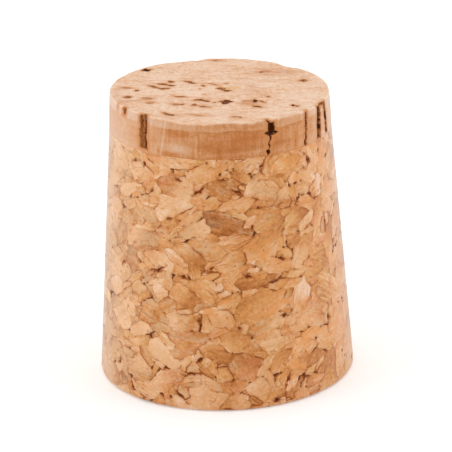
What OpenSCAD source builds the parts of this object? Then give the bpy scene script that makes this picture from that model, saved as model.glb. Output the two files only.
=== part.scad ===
// Tapered cork stopper: a body of pressed cork granules with a disc of natural cork glued on its narrow end.
// Origin: the middle of the wide end, which rests on the ground. +Z runs up the stopper's axis.

/* [Stopper] */
// Height of the stopper, measured up its axis
height = 45; // [30:0.5:80]
// Diameter of the wide end, across the corner that its worn edge rounds off
base_d = 40; // [30:0.5:60]
// Diameter of the narrow end
top_d = 33.3; // [24:0.1:56]
// Radius of the worn edge around the wide end
base_edge_r = 0.6; // [0.2:0.1:3]
// Slope of the trimmed narrow end in degrees, lower to the right
top_slope = 1.3; // [0:0.1:3]

/* [Natural cork disc] */
// Thickness of the disc, measured up the axis
disc_t = 5.6; // [4:0.1:12]
// Slope of the glued joint in degrees, lower to the right
joint_slope = 0.8; // [0:0.1:2]
// Width of the widest lenticel that breaks out of the disc's wall
lenticel_w = 1.5; // [0.6:0.1:2]
// How far the deepest lenticel runs in from the wall
lenticel_reach = 2; // [1:0.1:5]
// How far the lenticels nick the rim of the narrow end
rim_nick = 0.3; // [0.1:0.1:1]
// Depth of the pores in the narrow end
pore_depth = 1.2; // [0.4:0.1:3]

/* [Granule gaps] */
// Depth of the gaps between granules
gap_depth = 0.9; // [0.3:0.1:2]
// Length of the longest gap
gap_l = 4; // [2:0.1:6]
// Width of the widest gap
gap_w = 1; // [0.4:0.1:2]
// Number of gaps around the back and the flanks
back_gaps = 30; // [0:1:60]
// Number of gaps in the wide end
base_gaps = 14; // [0:1:30]

/* [Hidden] */
$fn = 96;
base_r = base_d / 2;
top_r = top_d / 2;
body_h = height - disc_t;
taper = atan((base_r - top_r) / height);
span = 2 * max(base_d, top_d); // wider than the stopper, for the trimming blocks
rise = span * tan(top_slope); // spare height that the slope trims away
clear = 1; // how far a cut starts outside its surface
golden = 137.5; // degrees from one scattered gap to the next
edge_steps = 6; // stages in the rounded edge
wall_steps = 9; // stages up the wall

// Gaps that show on the front: direction, share of the body's height, then length and
// width as shares of the largest, and turn on the wall in degrees.
front_gaps = [
    [-148, 0.13, 0.35, 0.7, 30], [-141, 0.20, 0.30, 0.6, 0], [-138, 0.05, 0.35, 0.5, -60],
    [-139, 0.96, 0.30, 0.5, 10], [-146, 0.54, 0.30, 0.7, 40], [-134, 0.57, 0.25, 0.6, 0],
    [-127, 0.86, 0.30, 0.6, 60], [-123, 0.55, 0.65, 0.6, 35], [-117, 0.76, 0.25, 0.5, 20],
    [-112, 0.92, 0.25, 0.5, -30], [-112, 0.06, 0.65, 0.8, -40], [-110, 0.54, 0.25, 0.6, 0],
    [-106, 0.15, 0.65, 0.6, 5], [-102, 0.21, 0.35, 1.0, 50], [-102, 0.36, 0.35, 0.6, 90],
    [-101, 0.88, 0.45, 0.5, 45], [-96, 0.57, 0.30, 0.6, 10], [-93, 0.48, 0.30, 0.6, 20],
    [-89, 0.92, 0.25, 0.5, 0], [-83, 0.87, 0.60, 0.6, -25], [-84, 0.34, 0.30, 0.6, 80],
    [-79, 0.54, 0.45, 0.7, -30], [-72, 0.80, 0.30, 0.6, 0], [-70, 0.96, 0.30, 0.6, 70],
    [-68, 0.03, 0.30, 0.9, 10], [-66, 0.51, 1.0, 0.6, 20], [-62, 0.59, 0.60, 0.7, -20],
    [-62, 0.36, 0.30, 0.7, 0], [-62, 0.10, 0.40, 0.5, 70], [-57, 0.78, 0.25, 0.6, 0],
    [-42, 0.95, 0.40, 0.8, -60], [-38, 0.78, 0.25, 0.6, 0], [-35, 0.29, 0.35, 0.7, 70],
    [-31, 0.67, 0.60, 0.6, 90], [-21, 0.55, 0.35, 0.6, 0]
];

// Lenticels that run up the disc's wall: direction, width and reach as shares of the largest.
edge_lenticels = [
    [-132.6, 1.0, 0.4], [-65, 0.2, 0.8], [-41, 0.3, 0.7], [-29, 0.7, 1.0], [-21, 0.45, 0.8],
    [28, 0.3, 0.8], [74, 0.5, 0.5], [118, 0.25, 0.7], [161, 0.4, 0.6]
];

// Pores in the narrow end: place to the right and to the back as shares of the radius,
// then length, width and turn.
pores = [
    [-0.68, 0.64, 2.0, 1.3, 30], [-0.28, 0.24, 2.4, 0.7, -42], [-0.44, 0.26, 1.1, 0.8, 20],
    [-0.52, 0.18, 2.8, 0.5, -22], [-0.44, 0.13, 1.2, 0.6, -50], [-0.59, 0.09, 3.2, 0.5, -46],
    [-0.51, 0.03, 2.2, 0.5, -5], [-0.05, 0.17, 3.0, 0.4, -32], [-0.14, 0.13, 0.8, 0.6, 0],
    [-0.83, -0.20, 1.5, 1.0, 0], [-0.36, -0.21, 2.9, 0.5, -22], [-0.16, -0.32, 2.8, 0.8, -22],
    [-0.18, -0.49, 3.0, 0.7, -22], [-0.47, -0.73, 2.8, 0.5, -38], [0.03, 0.02, 2.4, 0.7, -70],
    [0.06, -0.06, 1.7, 0.6, -30], [0.05, -0.35, 2.4, 1.0, 0], [0.05, -0.39, 2.2, 1.4, -85],
    [0.32, -0.36, 1.6, 0.7, 80], [0.40, -0.38, 1.6, 0.5, -45], [0.34, -0.53, 2.0, 0.6, -40],
    [0.67, -0.49, 0.9, 0.6, 90], [0.71, -0.54, 0.8, 0.6, -30], [0.40, 0.54, 0.9, 0.5, 0],
    [0.78, 0.26, 1.6, 1.0, 15]
];

function wall_r(z) = base_r + (top_r - base_r) * z / height;

// The rounded edge's section, from flat on the ground to in line with the wall.
function edge_arc() = [
    for (i = [0 : edge_steps])
        let (a = i / edge_steps * (90 + taper))
            [base_r - base_edge_r * tan(45 + taper / 2) + base_edge_r * sin(a),
             base_edge_r * (1 - cos(a))]
];

// The wall's section in even stages, up past the narrow end.
function wall_line() = [
    for (i = [1 : wall_steps])
        let (z = i / wall_steps * (height + rise))
            [wall_r(z), z]
];

// The whole stopper before its slopes are cut: both pieces come from it, so the wall runs on.
module stopper_form()
    rotate_extrude()
        polygon(concat([[0, 0]], edge_arc(), wall_line(), [[0, height + rise]]));

// Everything above a sloping plane that crosses the axis at height z.
module above(z, slope)
    translate([0, 0, z]) rotate([0, slope, 0])
        translate([-span / 2, -span / 2, 0]) cube([span, span, span]);

// Outline of a gap or a pore: a pointed lens that is a little lopsided.
module lens(l, w)
    polygon([
        [-l / 2, 0], [-l / 6, w / 2], [l / 4, w / 3],
        [l / 2, 0], [l / 6, -w / 2], [-l / 4, -w / 3]
    ]);

// Puts its children on the wall, with +Z out of the wall and +Y around it.
module on_wall(angle, z)
    rotate([0, 0, angle]) translate([wall_r(z), 0, z]) rotate([0, 90 - taper, 0]) children();

module wall_gap(angle, share, l, w, turn)
    on_wall(angle, share * body_h)
        rotate([0, 0, 90 + turn]) translate([0, 0, -gap_depth])
            linear_extrude(height = gap_depth + clear) lens(l, w);

module base_gap(i)
    rotate([0, 0, i * golden])
        translate([base_r * 0.85 * sqrt(i / (base_gaps + 1)), 0, -clear])
            rotate([0, 0, i * golden])
                linear_extrude(height = gap_depth + clear) lens(gap_l * 0.5, gap_w * 0.7);

module gaps() {
    for (g = front_gaps)
        wall_gap(g[0], g[1], g[2] * gap_l, g[3] * gap_w, g[4]);
    for (i = [1 : 1 : back_gaps]) {
        up = (i * 0.618) % 1;
        wall_gap(-10 + 200 * (i - 0.5) / back_gaps, 0.04 + 0.9 * up,
                 gap_l * (0.3 + 0.3 * up), gap_w * (0.5 + 0.3 * up), i * golden);
    }
    for (i = [1 : 1 : base_gaps])
        base_gap(i);
}

// Outline of a lenticel from above: open at the wall and pointed at its inner end.
module lenticel_outline(w, reach)
    polygon([[clear, -w / 2], [-reach * 0.4, -w / 2], [-reach, 0], [-reach * 0.4, w / 2], [clear, w / 2]]);

// A lenticel runs in deep below the rim, and only nicks the rim itself.
module edge_lenticel(angle, w, reach) {
    rim_z = height - top_r * cos(angle) * tan(top_slope);
    rotate([0, 0, angle]) {
        translate([wall_r(height - disc_t / 2), 0, body_h - rise])
            linear_extrude(height = rim_z - rim_nick - body_h + rise)
                lenticel_outline(w, reach);
        translate([top_r, 0, rim_z - 2 * rim_nick])
            linear_extrude(height = 2 * rim_nick + rise)
                lenticel_outline(w * 0.8, rim_nick);
    }
}

// The front lenticel opens out near the rim, with a point to each side.
module front_pocket(angle)
    on_wall(angle, height - disc_t * 0.26) translate([0, 0, -lenticel_reach / 2]) {
        linear_extrude(height = lenticel_reach)
            square([disc_t * 0.32, lenticel_w * 0.72], center = true);
        translate([disc_t * 0.13, 0, 0])
            linear_extrude(height = lenticel_reach)
                rotate([0, 0, 90]) lens(lenticel_w * 1.7, disc_t * 0.14);
    }

module pore(right, back, l, w, turn)
    rotate([0, top_slope, 0]) translate([right * top_r, back * top_r, -pore_depth])
        rotate([0, 0, turn])
            linear_extrude(height = pore_depth + clear) lens(l, w);

module agglomerated_body() {
    color([0.80, 0.59, 0.39])
        difference() {
            stopper_form();
            above(body_h, joint_slope);
            gaps();
        }
}

module natural_disc() {
    color([0.87, 0.69, 0.51])
        difference() {
            intersection() {
                stopper_form();
                above(body_h, joint_slope);
            }
            above(height, top_slope);
            for (e = edge_lenticels)
                edge_lenticel(e[0], e[1] * lenticel_w, e[2] * lenticel_reach);
            front_pocket(-63.5);
            translate([0, 0, height])
                for (p = pores)
                    pore(p[0], p[1], p[2], p[3], p[4]);
        }
}

agglomerated_body();
natural_disc();
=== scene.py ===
import math
import time

import bpy
import numpy as np
from mathutils import Matrix, Vector


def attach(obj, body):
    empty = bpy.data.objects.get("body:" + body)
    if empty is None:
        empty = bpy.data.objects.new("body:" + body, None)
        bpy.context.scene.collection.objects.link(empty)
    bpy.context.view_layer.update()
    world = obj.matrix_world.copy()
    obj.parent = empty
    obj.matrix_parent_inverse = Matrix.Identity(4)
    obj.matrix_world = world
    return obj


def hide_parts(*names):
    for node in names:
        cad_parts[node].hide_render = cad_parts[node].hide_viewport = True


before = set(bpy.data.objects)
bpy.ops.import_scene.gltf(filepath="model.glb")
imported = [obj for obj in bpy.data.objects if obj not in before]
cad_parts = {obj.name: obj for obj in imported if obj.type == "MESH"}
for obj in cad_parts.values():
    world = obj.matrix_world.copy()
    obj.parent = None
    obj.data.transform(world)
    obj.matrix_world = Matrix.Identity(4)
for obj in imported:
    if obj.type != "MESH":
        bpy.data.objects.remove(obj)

startTime = time.time()
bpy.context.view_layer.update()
mm = 0.001  # everything below is worked out in millimetres and written to the meshes in metres

# the stopper's own sizes in mm and degrees: a cone with a worn lower edge, cut by two planes
# that fall towards +X
stopper = {
    "height": 45.0,
    "baseRadius": 20.0,
    "topRadius": 16.65,
    "edgeRadius": 0.6,
    "discThickness": 5.6,
    "topSlope": 1.3,
    "jointSlope": 0.8,
}
narrowing = (stopper["baseRadius"] - stopper["topRadius"]) / stopper["height"]
taper = math.atan(narrowing)
jointHeight = stopper["height"] - stopper["discThickness"]


def say(text):
    # reports a stage, with the seconds since the start
    print("[stopper] %5.1f s  %s" % (time.time() - startTime, text))


def smooth(low, high, value):
    # 0 below low, 1 above high, and 3t^2 - 2t^3 between them
    t = np.clip((value - low) / (high - low), 0, 1)
    return t * t * (3 - 2 * t)


def bell(value, middle, halfWidth):
    # exp(-t^2), where t is the distance from the middle in half widths
    return np.exp(-((value - middle) / halfWidth) ** 2)


def turnFrom(angle, phi):
    # radians from a direction in degrees round to phi, between -pi and pi
    return np.angle(np.exp(1j * (phi - math.radians(angle))))


def softNoise(points, size, seed, channels=1):
    # random numbers on a lattice of this size in mm, blended between its eight corners
    period = 32  # cells after which the lattice repeats
    table = np.random.default_rng(seed).uniform(-1, 1, (period, period, period, channels))
    cell = np.floor(points / size).astype(int)
    t = smooth(0, 1, points / size - cell)
    total = np.zeros(points.shape[:-1] + (channels,))
    for corner in np.ndindex(2, 2, 2):
        weight = np.prod(np.where(corner, t, 1 - t), axis=-1)
        i = (cell + corner) % period
        total += weight[..., None] * table[i[..., 0], i[..., 1], i[..., 2]]
    return total


def lens(along, across, length, width):
    # mm inside a pointed lens: half its width, less towards its ends, less the way across
    return 0.5 * width * (1 - np.abs(2 * along / length) ** 1.6) - np.abs(across)


def wallRadius(z):
    # the cone's radius falls in a straight line from the base to the narrow end
    return stopper["baseRadius"] - narrowing * z


def wallNormal(phi):
    # outwards from the axis, and up by the taper
    level = math.cos(taper)
    return np.stack([np.cos(phi) * level, np.sin(phi) * level, math.sin(taper) + 0 * phi], -1)


def planeOnWall(phi, z, slope):
    # height at which the wall meets a plane that crosses the axis at z and falls towards +X:
    # z = z0 - r(z) cos(phi) tan(slope), solved for z
    fall = np.cos(phi) * math.tan(math.radians(slope))
    return (z - stopper["baseRadius"] * fall) / (1 - narrowing * fall)


def skinGrid(stages, columns):
    # phi and s of each vertex: one ring of this many columns for each stage of s
    phi = np.linspace(-math.pi, math.pi, columns, endpoint=False)
    phi, s = np.meshgrid(phi, stages)
    return phi.ravel(), s.ravel()


def checkerboard(rows, columns):
    # true for every second cell between the rows
    return np.add.outer(np.arange(rows - 1), np.arange(columns)) % 2 == 1


def closedGrid(rows, columns, flip):
    # two triangles for each cell of a grid that closes on itself sideways, where flip picks the
    # diagonal, then a fan from its first row to one more point and from its last row to another
    row, column = np.mgrid[0:rows - 1, 0:columns]
    a = row * columns + column
    b = row * columns + (column + 1) % columns
    d = a + columns
    c = b + columns
    straight = np.stack([a, b, c, a, c, d], -1)
    crossed = np.stack([a, b, d, b, c, d], -1)
    cells = np.where(flip[..., None], crossed, straight).reshape(-1, 3)
    ring = np.arange(columns)
    after = np.roll(ring, -1)
    count = rows * columns
    lower = np.stack([np.full_like(ring, count), after, ring], -1)
    upper = np.stack([ring, after, np.full_like(ring, columns + 1)], -1) + count - columns
    return np.vstack([lower, cells, upper])


def vertexNormals(points, triangles):
    # the sum of the normals of the triangles around each vertex, each as long as its area
    corner = points[triangles]
    area = np.cross(corner[:, 1] - corner[:, 0], corner[:, 2] - corner[:, 0])
    total = np.zeros_like(points)
    for axis in range(3):
        total[:, axis] = np.bincount(
            triangles.ravel(), np.repeat(area[:, axis], 3), minlength=len(points))
    return total / np.maximum(np.linalg.norm(total, axis=1), 1e-12)[:, None]


def addObject(name, data):
    # a new object at the origin, in the scene
    added = bpy.data.objects.new(name, data)
    bpy.context.scene.collection.objects.link(added)
    return added


def makePiece(name, points, triangles, cuts, values, node, material):
    # values holds what the material reads: one number for each vertex, or one number or vector
    # for each triangle's corners; the triangles between two cuts are shaded as one smooth skin
    mesh = bpy.data.meshes.new(name)
    mesh.from_pydata(points * mm, [], triangles, shade_flat=False)
    for label, array in values.items():
        domain = "POINT" if array.ndim == 1 else "CORNER"
        kind, field = ("FLOAT_VECTOR", "vector") if array.ndim == 3 else ("FLOAT", "value")
        layer = mesh.attributes.new(label, kind, domain)
        layer.data.foreach_set(field, array.astype(np.float32).ravel())
    mesh.validate()
    skins = [vertexNormals(points, part)[part] for part in np.split(triangles, cuts)]
    mesh.normals_split_custom_set(np.concatenate(skins).reshape(-1, 3))
    mesh.materials.append(material)
    piece = addObject(name, mesh)
    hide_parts(node)
    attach(piece, "root")
    say("%s: %d triangles" % (name, len(triangles)))


def colour(red, green, blue):
    # screen values 0 to 255 to linear light
    value = np.array([red, green, blue]) / 255
    linear = np.where(value <= 0.04045, value / 12.92, ((value + 0.055) / 1.055) ** 2.4)
    return (*linear.tolist(), 1.0)


class Shader:
    # a small hand for wiring nodes: each call adds what it says and returns its output

    def __init__(self, owner):
        # owner is a material or a world
        owner.use_nodes = True
        self.owner = owner
        self.tree = owner.node_tree
        self.tree.nodes.clear()

    def add(self, kind, output, inputs, **settings):
        # one node, with a number, a colour or another node's output on each input
        node = self.tree.nodes.new(kind)
        for key, value in settings.items():
            setattr(node, key, value)
        for key, value in inputs.items():
            if isinstance(value, bpy.types.NodeSocket):
                self.tree.links.new(value, node.inputs[key])
            else:
                node.inputs[key].default_value = value
        return node.outputs[output]

    def attribute(self, name, output="Fac"):
        return self.add("ShaderNodeAttribute", output, {}, attribute_name=name)

    def noise(self, pattern, source=None):
        # a pattern is its stretch along each axis, then the noise's detail, roughness and
        # distortion; it lies on Object coordinates or on another vector
        stretch, detail, roughness, distortion = pattern
        if source is None:
            source = self.add("ShaderNodeTexCoord", "Object", {})
        vector = self.add("ShaderNodeMapping", "Vector", {"Vector": source, "Scale": stretch})
        return self.add("ShaderNodeTexNoise", "Fac", {
            "Vector": vector, "Scale": 1.0, "Detail": detail,
            "Roughness": roughness, "Distortion": distortion})

    def math(self, operation, first, second=0.0, third=0.0):
        return self.add("ShaderNodeMath", 0, {0: first, 1: second, 2: third}, operation=operation)

    def times(self, first, second):
        return self.math("MULTIPLY", first, second)

    def apart(self, first, second):
        # |first - second|
        return self.math("ABSOLUTE", self.math("SUBTRACT", first, second))

    def fields(self, look, source=None):
        # every attribute and every noise that a look names, by its name
        found = {name: self.attribute(name) for name in look["attributes"]}
        found.update({name: self.noise(row, source) for name, row in look["noises"].items()})
        return found

    def sway(self, value, rows, field):
        # value + amount (noise - 1/2), for the noise and the amount of each row
        for name, amount in rows:
            offset = self.math("SUBTRACT", field[name], 0.5)
            value = self.math("MULTIPLY_ADD", offset, amount, value)
        return value

    def fit(self, value, fromLow, fromHigh, toLow=0.0, toHigh=1.0):
        # eases from one range to another, and stays at its ends outside it
        return self.add("ShaderNodeMapRange", "Result", {
            "Value": value, "From Min": fromLow, "From Max": fromHigh,
            "To Min": toLow, "To Max": toHigh}, interpolation_type="SMOOTHSTEP")

    def ramp(self, value, stops):
        # each stop is a position and a colour's red, green and blue
        output = self.add("ShaderNodeValToRGB", "Color", {"Fac": value})
        elements = output.node.color_ramp.elements
        while len(elements) < len(stops):
            elements.new(0.5)
        for element, (position, *shade) in zip(elements, stops):
            element.position = position
            element.color = colour(*shade)
        return output

    def mix(self, factor, first, second, blend="MIX"):
        # inputs 6 and 7 and output 2 are the node's colours
        return self.add("ShaderNodeMix", 2, {0: factor, 6: first, 7: second},
                        data_type="RGBA", blend_type=blend)

    def shade(self, tint, field):
        # one colour, or one that goes over to another as a field goes from low to high
        if len(tint) == 3:
            return colour(*tint)
        first, second, name, low, high = tint
        return self.mix(self.fit(field[name], low, high), colour(*first), colour(*second))

    def lay(self, base, rows, field):
        # each row is mixed over the base: its blend and colour, and the fields that it follows,
        # multiplied, each as it is or eased from one range to another
        for blend, tint, *follows in rows:
            factor = None
            for name, *spread in follows:
                value = self.fit(field[name], *spread) if spread else field[name]
                factor = value if factor is None else self.times(factor, value)
            base = self.mix(factor, base, self.shade(tint, field), blend)
        return base

    def finish(self, surface, kind="ShaderNodeOutputMaterial"):
        # wires the surface to a new output, and returns the material or world
        output = self.tree.nodes.new(kind)
        self.tree.links.new(surface, output.inputs["Surface"])
        return self.owner

    def cork(self, baseColour, height, field, look):
        # a matt surface with sheen, a roughness that goes with the mottle, and a fine bump
        bump = self.add("ShaderNodeBump", "Normal", {"Height": height, **look["bump"]})
        return self.finish(self.add("ShaderNodeBsdfPrincipled", "BSDF", {
            "Base Color": baseColour, "Roughness": self.fit(field["mottle"], *look["roughness"]),
            "Normal": bump, **look["surface"]}))


# In a look, a noise is its stretch along x, y and z, then its detail, roughness and distortion,
# and a sway is a noise and how much it moves the tone. A layer is its blend, its colour (or two,
# and the field that turns one into the other), and the fields that it follows, each with the
# range over which it comes in and, where that isn't from 0 to 1, how far.
granuleLook = {
    "attributes": ("tone", "hue", "streaky", "chroma", "border", "crack", "hollow"),
    "noises": {  # on the granule's own mm, with x along its grain
        "bands": ((0.3, 2.4, 1.2), 3.0, 0.55, 0.8),
        "patch": ((0.5, 0.8, 0.8), 2.0, 0.55, 0.6),
        "mottle": ((2.0, 2.0, 2.0), 4.0, 0.65, 0.0),
        "cells": ((6.5, 6.5, 6.5), 2.0, 0.6, 0.0),
        "lip": ((0.9, 0.9, 0.9), 2.0, 0.5, 0.4),
        "hues": ((0.55, 0.55, 0.55), 2.0, 0.5, 0.3),
        "chromas": ((0.4, 0.7, 0.7), 3.0, 0.6, 0.4),
        "contour": ((0.22, 0.75, 0.75), 1.0, 0.4, 0.4),
        "dots": ((1.7, 2.89, 2.89), 1.0, 0.4, 0.0),
    },
    "banded": (0.16, 0.9),  # how much the growth bands sway a plain and a streaky granule
    "sways": [("patch", 0.36), ("mottle", 0.52), ("cells", 0.25)],
    "tones": [
        (0.00, 94, 38, 8), (0.15, 136, 70, 22), (0.30, 166, 96, 39), (0.45, 193, 123, 64),
        (0.60, 211, 146, 85), (0.75, 223, 165, 113), (0.88, 229, 180, 138), (1.00, 236, 197, 167),
    ],
    "layers": [
        # pink granules and straw ones, and patches of fuller and of greyer colour; on the left flank
        # the greyer colour is a painted haze
        ("HUE", (212, 130, 78), ("hue", 0.5, 0.85, 0.0, 0.7), ("value", 0.85, 0.6)),
        ("HUE", (214, 162, 96), ("hue", 0.5, 0.15, 0.0, 0.5), ("value", 0.45, 0.7)),
        ("COLOR", (222, 146, 76), ("chroma", 0.53, 0.7, 0.0, 0.7), ("middling",)),
        ("COLOR", (206, 162, 120), ("chroma", 0.47, 0.3, 0.0, 0.75), ("middling",)),
        # growth lines, which are thin contours of a noise broken up by another, and old pores
        ("MIX", (170, 98, 42), ("line", 0.016, 0.002), ("patch", 0.43, 0.57, 0.0, 0.7)),
        ("MIX", (170, 98, 46), ("dots", 0.73, 0.79)),
        # painted shade along a crack, partly a brown stain, and its line, which is a fine seam where
        # it is weak
        ("MIX", (192, 118, 58), ("border", 0.6, 0.0), ("crack", 0.1, 0.8, 0.0, 0.7),
         ("mottle", 0.42, 0.58, 0.3, 1.0)),
        ("MIX", ((170, 98, 42), (140, 66, 14), "crack", 0.25, 0.85), ("near", 0.0, 0.8),
         ("crack", 0.06, 0.6, 0.0, 0.95)),
        # hollows with a ragged outline and a brown stain around them
        ("MIX", (170, 98, 46), ("rough", -0.26, 0.0, 0.0, 0.35)),
        ("MIX", (140, 66, 14), ("rough", -0.02, 0.04)),
        ("MIX", (120, 54, 8), ("rough", 0.05, 0.22)),
    ],
    "roughness": (0.3, 0.7, 0.48, 0.64),
    "bump": {"Strength": 0.4, "Distance": 0.0001},
    "surface": {
        "IOR": 1.45, "Specular IOR Level": 0.12, "Sheen Weight": 0.88, "Sheen Roughness": 0.42,
        "Sheen Tint": (1.0, 0.955, 0.91, 1.0),
    },
}


def pressedCork():
    # a granule's tone is swayed by noises and looked up in the tones, and layers go over it
    look = granuleLook
    shader = Shader(bpy.data.materials.new("pressedCork"))
    field = shader.fields(look, shader.attribute("grain", "Vector"))
    banded = shader.fit(field["streaky"], 0.0, 1.0, *look["banded"])
    value = shader.sway(field["tone"], [("bands", banded), *look["sways"]], field)
    # a lip along the border, pale where the noise is high and brown where it is low: partly the
    # cork's pale cut cell edges, partly a painted highlight and a painted shade beside the border
    lip = shader.math("SUBTRACT", field["lip"], 0.55)
    lip = shader.times(shader.fit(field["border"], 0.45, 0.05), lip)
    value = shader.math("MULTIPLY_ADD", lip, 0.9, value)
    chroma = shader.math("ADD", field["chromas"], field["chroma"])
    middling = shader.fit(value, 0.40, 0.55)
    middling = shader.math("MAXIMUM", middling, shader.fit(chroma, 0.40, 0.10))
    # a crack's line is wider where it is strong
    width = shader.math("MULTIPLY_ADD", shader.math("POWER", field["crack"], 2.0), 0.15, 0.06)
    near = shader.math("SUBTRACT", 1.0, shader.math("DIVIDE", field["border"], width))
    field.update({
        "value": value,
        "chroma": chroma,
        "middling": middling,
        "near": near,
        "hue": shader.math("ADD", field["hue"], field["hues"]),
        "line": shader.apart(field["contour"], 0.5),
        "rough": shader.sway(field["hollow"], [("mottle", 0.8)], field),
    })
    base = shader.lay(shader.ramp(value, look["tones"]), look["layers"], field)
    height = shader.math("MULTIPLY_ADD", field["cells"], 0.5, field["mottle"])
    return shader.cork(base, height, field, look)


# the body of pressed granules: what its surface and its granules are made from, in mm and degrees
body = {
    "seed": 11,
    "columns": 440,
    "baseRings": 44,
    "edgeRows": 4,
    "wallRows": 164,
    # from the largest granules down: half size, tries, least and greatest length against width
    "sizes": [
        (2.5, 40, 1.3, 2.4), (2.0, 320, 1.3, 2.8), (1.6, 1100, 1.3, 3.2),
        (1.2, 3200, 1.4, 3.6), (0.9, 6000, 1.6, 4.5),
    ],
    "spacing": 0.78,
    "besideGaps": (0.45, 0.9, 1.9),  # granules beside a gap: how far off, half size, aspect
    "onBase": 0.22,  # share of the tries that fall on the wide end
    "lean": (6, 22),  # mean and spread
    "anyLean": 0.2,  # share of granules that lean any way
    "upright": (-31, 9, 65),  # where they stand upright: direction, half width, added lean
    "joined": 0.35,  # share of granules that carry on into the one beside them
    "joinReach": 3.6,  # how near that one is at most
    "joinSize": 1.9,  # and only smaller ones than this do so
    "tone": (0.68, 0.07),  # how pale the granules are: mean and spread
    "leastTone": 0.52,
    # painted light: granules on the lit flanks are no darker than this
    "leastPaintedSideTone": 0.58,
    "oddTones": [(0.05, 0.42, 0.50), (0.07, 0.80, 0.90)],  # share, and from and to which tone
    # painted light on the flanks: the left is painted greyer, a painted haze, and a little darker, a
    # painted shade; the right is a hair paler, a painted light
    "leftSide": (-160, 44),  # direction and half width
    "leftPaintedShade": -0.035,
    "leftPaintedHaze": 0.24,
    "rightSide": (-15, 25),
    "rightPaintedLight": 0.005,
    "darkOne": {"slope": 0.02, "streaky": 0.6, "chroma": -0.25},  # the first of the known ones
    "sides": 6,
    "angular": 0.8,  # 1 for an outline of straight sides, 0 for a round one
    "bend": 0.30,
    "grooveDepth": 0.03,
    "gapDepth": 0.6,
    "unevenness": 0.03,
    "roughness": 0.012,
    "backGaps": 30,
    "baseGaps": 14,
    "golden": 137.5,  # degrees from one of these gaps to the next
    # gaps between granules that are deep enough to be part of the form:
    # direction, share of the body's height, length, width and turn on the wall
    "wallGaps": [
        (-148, 0.13, 1.4, 0.7, 30), (-141, 0.2, 1.2, 0.6, 0), (-138, 0.05, 1.4, 0.5, -60),
        (-139, 0.96, 1.2, 0.5, 10), (-146, 0.54, 1.2, 0.7, 40), (-134, 0.57, 1, 0.6, 0),
        (-127, 0.86, 1.2, 0.6, 60), (-123, 0.55, 2.6, 0.6, 35), (-117, 0.76, 1, 0.5, 20),
        (-112, 0.92, 1, 0.5, -30), (-112, 0.06, 2.6, 0.8, -40), (-110, 0.54, 1, 0.6, 0),
        (-106, 0.15, 2.6, 0.6, 5), (-102, 0.21, 1.4, 1, 50), (-102, 0.36, 1.4, 0.6, 90),
        (-101, 0.88, 1.8, 0.5, 45), (-96, 0.57, 1.2, 0.6, 10), (-93, 0.48, 1.2, 0.6, 20),
        (-89, 0.92, 1, 0.5, 0), (-83, 0.87, 2.4, 0.6, -25), (-84, 0.34, 1.2, 0.6, 80),
        (-79, 0.54, 1.8, 0.7, -30), (-72, 0.8, 1.2, 0.6, 0), (-70, 0.96, 1.2, 0.6, 70),
        (-68, 0.03, 1.2, 0.9, 10), (-66, 0.51, 4, 0.6, 20), (-62, 0.59, 2.4, 0.7, -20),
        (-62, 0.36, 1.2, 0.7, 0), (-62, 0.1, 1.6, 0.5, 70), (-57, 0.78, 1, 0.6, 0),
        (-42, 0.95, 1.6, 0.8, -60), (-38, 0.78, 1, 0.6, 0), (-35, 0.29, 1.4, 0.7, 70),
        (-31, 0.67, 2.4, 0.6, 90), (-21, 0.55, 1.4, 0.6, 0),
    ],
    # granules that stand out on the front: direction, height, half size, length against width,
    # lean, then how pale and how pink (or amber, below zero) each one is
    "known": [
        (-88, 29.4, 2.7, 2.4, -22, 0.38, 0.1), (-106, 24.7, 2, 1.8, -25, 0.56, 0),
        (-109, 17.9, 2.1, 1.3, -10, 0.54, 0), (-129, 14.1, 1.9, 1.2, -30, 0.56, 0),
        (-139, 22.5, 2, 1.1, 0, 0.46, 0.2), (-125, 10.7, 0.9, 1.2, 0, 0.44, -0.2),
        (-122, 18.1, 1.1, 1.3, 20, 0.85, 0), (-82, 7.2, 2.3, 1.1, -60, 0.5, 0.2),
        (-149, 25.4, 1.9, 1.2, 60, 0.48, -0.1), (-53, 16.9, 2.2, 1.6, 75, 0.88, 0.2),
        (-74, 16.2, 3.2, 2.1, 14, 0.64, 0), (-70, 13.5, 2.1, 3, 16, 0.68, 0),
        (-78, 20.4, 2, 1.7, 5, 0.48, -0.1), (-113, 35.4, 2.4, 1.6, 5, 0.64, 0.2),
        (-114, 32.4, 1.9, 2, -8, 0.86, 0), (-68, 33.9, 2, 1.3, -20, 0.66, 0.1),
        (-36, 32.4, 1.7, 1.3, 30, 0.86, 0.1), (-52, 34.9, 1, 1.3, 60, 0.82, 0),
        (-82, 32.4, 1.6, 2.6, 12, 0.74, 0), (-88, 34.9, 2.1, 1.8, -8, 0.48, -0.1),
        (-71, 25.5, 2.8, 1.8, 20, 0.66, 0), (-63, 22.1, 1.9, 1.6, -15, 0.72, 0),
        (-86, 10.9, 2, 1.3, 20, 0.6, -0.1), (-93, 15, 2, 2.4, -28, 0.76, 0),
        (-110, 14.1, 2, 2, 10, 0.68, 0.1), (-145, 11.9, 1.7, 1.4, 50, 0.86, 0.1),
        (-68, 29.5, 2.2, 1.5, 10, 0.58, -0.1), (-52, 29.2, 1.8, 1.6, 35, 0.52, -0.2),
        (-49, 23.6, 2.3, 2, 50, 0.68, 0), (-36, 28.3, 2, 2, 80, 0.64, 0),
        (-28, 23.5, 2.2, 3, 80, 0.6, 0), (-98, 25.5, 2.2, 2, -12, 0.64, 0),
        (-124, 22.9, 2, 1.4, -30, 0.78, 0.1), (-153, 16.8, 1.6, 1.3, 60, 0.86, 0.1),
        (-76, 3.4, 1.8, 1.4, 20, 0.78, 0), (-130, 2.2, 1.9, 1.5, -10, 0.74, 0),
    ],
}


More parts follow.
